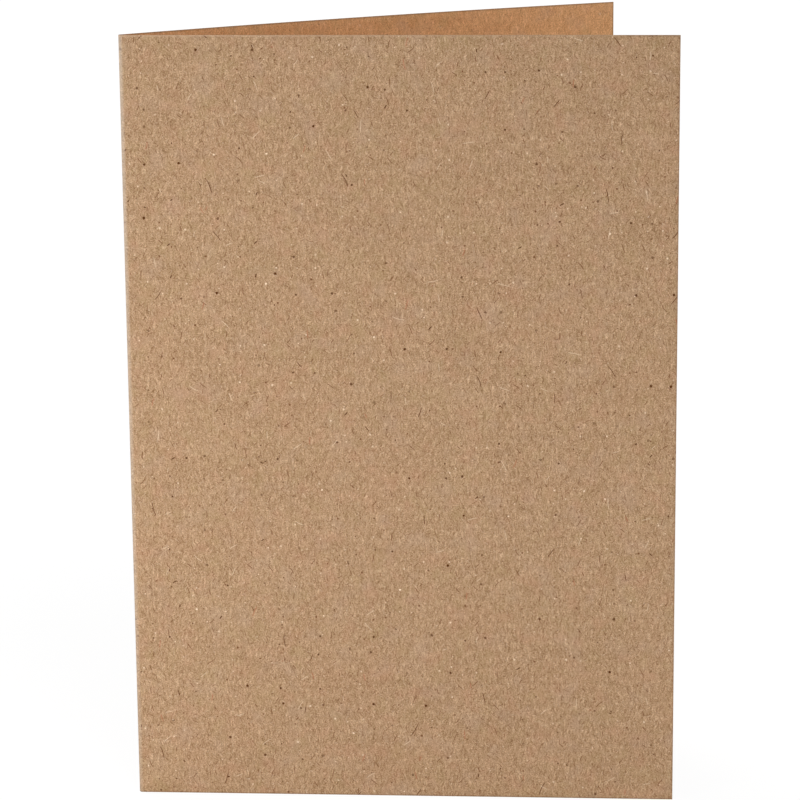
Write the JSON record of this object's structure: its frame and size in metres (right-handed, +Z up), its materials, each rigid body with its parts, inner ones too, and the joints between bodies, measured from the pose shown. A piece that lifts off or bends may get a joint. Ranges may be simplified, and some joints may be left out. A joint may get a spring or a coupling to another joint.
{
  "type": "blank card",
  "caption": "Blank folded card of brown kraft board, standing upright and slightly open, plain inside and out for writing or decorating.",
  "frame": {"origin": "middle of the card's footprint box, on the surface that it stands on", "axes": "+Z up along the fold, -Y out of the flat front panel, -X towards the fold, +X towards the open edge"},
  "size_m": [0.105, 0.0502, 0.15],
  "materials": {
    "kraft_board": "uncoated, matt, with fine visible fibres"
  },
  "bodies": {
    "root": {"card": "kraft_board"}
  },
  "joints": []
}
